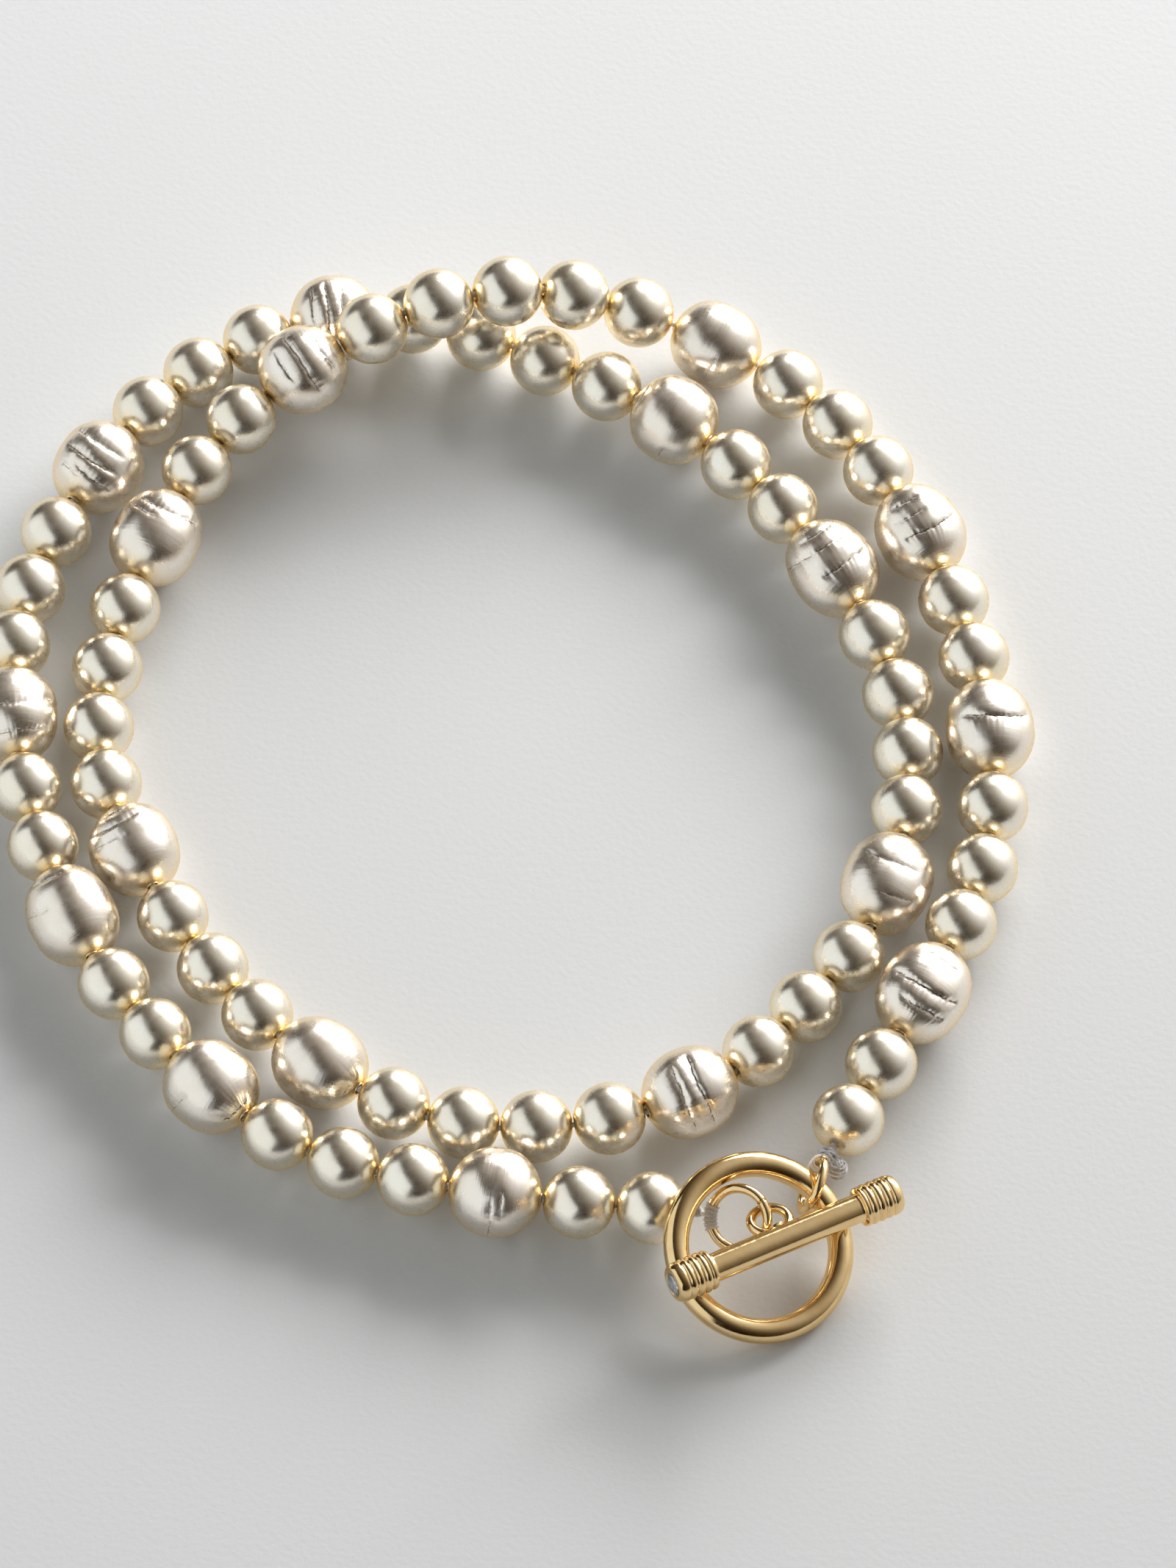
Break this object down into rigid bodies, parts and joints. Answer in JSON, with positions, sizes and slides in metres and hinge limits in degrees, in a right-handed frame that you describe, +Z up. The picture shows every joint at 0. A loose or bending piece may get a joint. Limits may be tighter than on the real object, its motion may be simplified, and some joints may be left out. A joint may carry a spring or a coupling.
{
  "type": "pearl necklace",
  "caption": "Single-strand necklace of round and baroque pearls lying in two crossing loops, closed by a gold toggle clasp with crystal-tipped bar.",
  "frame": {"origin": "centre of the laid-out necklace on the table it lies on", "axes": "+Z up from the table, -Y towards the clasp, +X to the right seen from above with the clasp in front"},
  "size_m": [0.119, 0.1391, 0.0169],
  "materials": {
    "round_pearl": "pearlescent coating, smooth",
    "baroque_pearl": "pearlescent coating with furrows",
    "gold": "polished gold plate",
    "crystal": "cut and clear",
    "thread": "twisted, partly translucent"
  },
  "bodies": {
    "strand_11": {"pearl_run_11": "round_pearl", "pearl_run_10": "round_pearl", "pearl_run_12": "round_pearl"},
    "baroque_10": {"baroque_10": "baroque_pearl"},
    "baroque_09": {"baroque_09": "baroque_pearl"},
    "strand_09": {"pearl_run_09": "round_pearl"},
    "baroque_08": {"baroque_08": "baroque_pearl"},
    "strand_08": {"pearl_run_08": "round_pearl", "pearl_run_07": "round_pearl", "pearl_run_06": "round_pearl"},
    "baroque_07": {"baroque_07": "baroque_pearl"},
    "baroque_06": {"baroque_06": "baroque_pearl"},
    "baroque_05": {"baroque_05": "baroque_pearl"},
    "strand_05": {"pearl_run_05": "round_pearl"},
    "baroque_04": {"baroque_04": "baroque_pearl"},
    "strand_04": {"pearl_run_04": "round_pearl", "pearl_run_03": "round_pearl", "pearl_run_02": "round_pearl", "pearl_run_01": "round_pearl", "thread_end_bar": "thread"},
    "baroque_03": {"baroque_03": "baroque_pearl"},
    "baroque_02": {"baroque_02": "baroque_pearl"},
    "baroque_01": {"baroque_01": "baroque_pearl"},
    "baroque_11": {"baroque_11": "baroque_pearl"},
    "baroque_12": {"baroque_12": "baroque_pearl"},
    "strand_13": {"pearl_run_13": "round_pearl"},
    "baroque_13": {"baroque_13": "baroque_pearl"},
    "strand_14": {"pearl_run_14": "round_pearl", "pearl_run_15": "round_pearl"},
    "baroque_14": {"baroque_14": "baroque_pearl"},
    "baroque_15": {"baroque_15": "baroque_pearl"},
    "strand_16": {"pearl_run_16": "round_pearl", "pearl_run_17": "round_pearl"},
    "baroque_16": {"baroque_16": "baroque_pearl"},
    "baroque_17": {"baroque_17": "baroque_pearl"},
    "strand_18": {"pearl_run_18": "round_pearl", "pearl_run_19": "round_pearl", "thread_end_ring": "thread"},
    "baroque_18": {"baroque_18": "baroque_pearl"},
    "bar_link": {"bar_link": "gold"},
    "toggle_bar": {"toggle_bar": "gold", "bar_crystal_left": "crystal", "bar_crystal_right": "crystal"},
    "ring_link": {"ring_link": "gold"},
    "toggle_ring": {"toggle_ring": "gold"}
  },
  "joints": [
    {"name": "baroque_10_spin", "type": "hinge", "parent": "strand_11", "child": "baroque_10", "pos_m": [0.02073, -0.03958, 0.00509], "axis": [-0.8785, -0.4776, 0.0111], "continuous": true},
    {"name": "baroque_09_spin", "type": "hinge", "parent": "strand_11", "child": "baroque_09", "pos_m": [0.04261, -0.01229, 0.00506], "axis": [-0.307, -0.9516, -0.0133], "continuous": true},
    {"name": "under_strand_bend_1", "type": "hinge", "parent": "strand_11", "child": "strand_09", "pos_m": [0.04455, -0.00629, 0.00515], "axis": [0, 0, 1], "range_deg": [0, 9]},
    {"name": "baroque_08_spin", "type": "hinge", "parent": "strand_09", "child": "baroque_08", "pos_m": [0.03702, 0.03005, 0.00504], "axis": [0.5028, -0.8644, 0.0061], "continuous": true},
    {"name": "under_strand_bend_2", "type": "hinge", "parent": "strand_09", "child": "strand_08", "pos_m": [0.034, 0.03524, 0.005], "axis": [0, 0, 1], "range_deg": [-10.83, 0]},
    {"name": "baroque_07_spin", "type": "hinge", "parent": "strand_08", "child": "baroque_07", "pos_m": [0.01932, 0.05028, 0.00504], "axis": [0.8134, -0.5817, -0.005], "continuous": true},
    {"name": "baroque_06_spin", "type": "hinge", "parent": "strand_08", "child": "baroque_06", "pos_m": [-0.01922, 0.06432, 0.00503], "axis": [0.9854, 0.1703, -0.0083], "continuous": true},
    {"name": "baroque_05_spin", "type": "hinge", "parent": "strand_08", "child": "baroque_05", "pos_m": [-0.04558, 0.04372, 0.0051], "axis": [0.5161, 0.8565, 0.0056], "continuous": true},
    {"name": "under_strand_bend_3", "type": "hinge", "parent": "strand_08", "child": "strand_05", "pos_m": [-0.04852, 0.03884, 0.00507], "axis": [0, 0, 1], "range_deg": [0, 12.12]},
    {"name": "baroque_04_spin", "type": "hinge", "parent": "strand_05", "child": "baroque_04", "pos_m": [-0.05436, 0.0102, 0.00504], "axis": [-0.0891, 0.996, 0.006], "continuous": true},
    {"name": "under_strand_bend_4", "type": "hinge", "parent": "strand_05", "child": "strand_04", "pos_m": [-0.05386, 0.00452, 0.005], "axis": [0, 0, 1], "range_deg": [-10.34, 0]},
    {"name": "baroque_03_spin", "type": "hinge", "parent": "strand_04", "child": "baroque_03", "pos_m": [-0.04735, -0.01648, 0.00505], "axis": [-0.3977, 0.9175, -0.0089], "continuous": true},
    {"name": "baroque_02_spin", "type": "hinge", "parent": "strand_04", "child": "baroque_02", "pos_m": [-0.03167, -0.03886, 0.00507], "axis": [-0.7057, 0.7085, -0.0114], "continuous": true},
    {"name": "baroque_01_spin", "type": "hinge", "parent": "strand_04", "child": "baroque_01", "pos_m": [-0.00049, -0.05251, 0.00504], "axis": [-0.9848, 0.1733, -0.0129], "continuous": true},
    {"name": "baroque_11_spin", "type": "hinge", "parent": "strand_11", "child": "baroque_11", "pos_m": [-0.01975, -0.03578, 0.00504], "axis": [-0.784, 0.6205, -0.0157], "continuous": true},
    {"name": "baroque_12_spin", "type": "hinge", "parent": "strand_11", "child": "baroque_12", "pos_m": [-0.0406, -0.0078, 0.00502], "axis": [-0.4051, 0.9142, 0.0059], "continuous": true},
    {"name": "over_strand_bend_1", "type": "hinge", "parent": "strand_11", "child": "strand_13", "pos_m": [-0.04287, -0.00268, 0.00505], "axis": [0, 0, 1], "range_deg": [-9, 0]},
    {"name": "baroque_13_spin", "type": "hinge", "parent": "strand_13", "child": "baroque_13", "pos_m": [-0.0389, 0.03414, 0.00508], "axis": [0.3778, 0.9241, 0.057], "continuous": true},
    {"name": "over_strand_bend_2", "type": "hinge", "parent": "strand_13", "child": "strand_14", "pos_m": [-0.03667, 0.03959, 0.00542], "axis": [0, 0, 1], "range_deg": [0, 12.25]},
    {"name": "baroque_14_spin", "type": "hinge", "parent": "strand_14", "child": "baroque_14", "pos_m": [-0.02261, 0.05449, 0.00906], "axis": [0.8304, 0.482, 0.2796], "continuous": true},
    {"name": "baroque_15_spin", "type": "hinge", "parent": "strand_14", "child": "baroque_15", "pos_m": [0.02413, 0.0607, 0.00507], "axis": [0.8979, -0.4001, -0.1833], "continuous": true},
    {"name": "over_strand_bend_3", "type": "hinge", "parent": "strand_14", "child": "strand_16", "pos_m": [0.02916, 0.05846, 0.00404], "axis": [0, 0, 1], "range_deg": [-8.61, 0]},
    {"name": "baroque_16_spin", "type": "hinge", "parent": "strand_16", "child": "baroque_16", "pos_m": [0.04693, 0.03487, 0.00502], "axis": [0.4443, -0.8956, 0.0209], "continuous": true},
    {"name": "baroque_17_spin", "type": "hinge", "parent": "strand_16", "child": "baroque_17", "pos_m": [0.05432, 0.00817, 0.0051], "axis": [0.0839, -0.9965, 0.0021], "continuous": true},
    {"name": "over_strand_bend_4", "type": "hinge", "parent": "strand_16", "child": "strand_18", "pos_m": [0.05484, 0.00209, 0.00512], "axis": [0, 0, 1], "range_deg": [0, 5.41]},
    {"name": "baroque_18_spin", "type": "hinge", "parent": "strand_18", "child": "baroque_18", "pos_m": [0.04645, -0.02663, 0.00503], "axis": [-0.4459, -0.895, 0.0125], "continuous": true},
    {"name": "bar_link_lift", "type": "hinge", "parent": "strand_04", "child": "bar_link", "pos_m": [0.0229, -0.0559, 0.0055], "axis": [-0.2644, -0.9644, 0], "range_deg": [0, 5]},
    {"name": "bar_tip", "type": "hinge", "parent": "bar_link", "child": "toggle_bar", "pos_m": [0.0291, -0.0576, 0.0074], "axis": [-0.8743, -0.477, 0.0893], "range_deg": [0, 55]},
    {"name": "ring_link_turn", "type": "hinge", "parent": "strand_18", "child": "ring_link", "pos_m": [0.03406, -0.05223, 0.00606], "axis": [-0.9114, 0.1809, 0.3697], "continuous": true},
    {"name": "toggle_ring_turn", "type": "hinge", "parent": "strand_18", "child": "toggle_ring", "pos_m": [0.02813, -0.05962, 0.00519], "axis": [0.2459, -0.3289, 0.9118], "continuous": true}
  ],
  "couplings": [
    {"joint": "under_strand_bend_2", "follows": "under_strand_bend_1", "ratio": -1.198},
    {"joint": "under_strand_bend_3", "follows": "under_strand_bend_1", "ratio": 1.341},
    {"joint": "under_strand_bend_4", "follows": "under_strand_bend_1", "ratio": -1.143},
    {"joint": "over_strand_bend_2", "follows": "over_strand_bend_1", "ratio": -1.355},
    {"joint": "over_strand_bend_3", "follows": "over_strand_bend_1", "ratio": 0.951},
    {"joint": "over_strand_bend_4", "follows": "over_strand_bend_1", "ratio": -0.596}
  ]
}
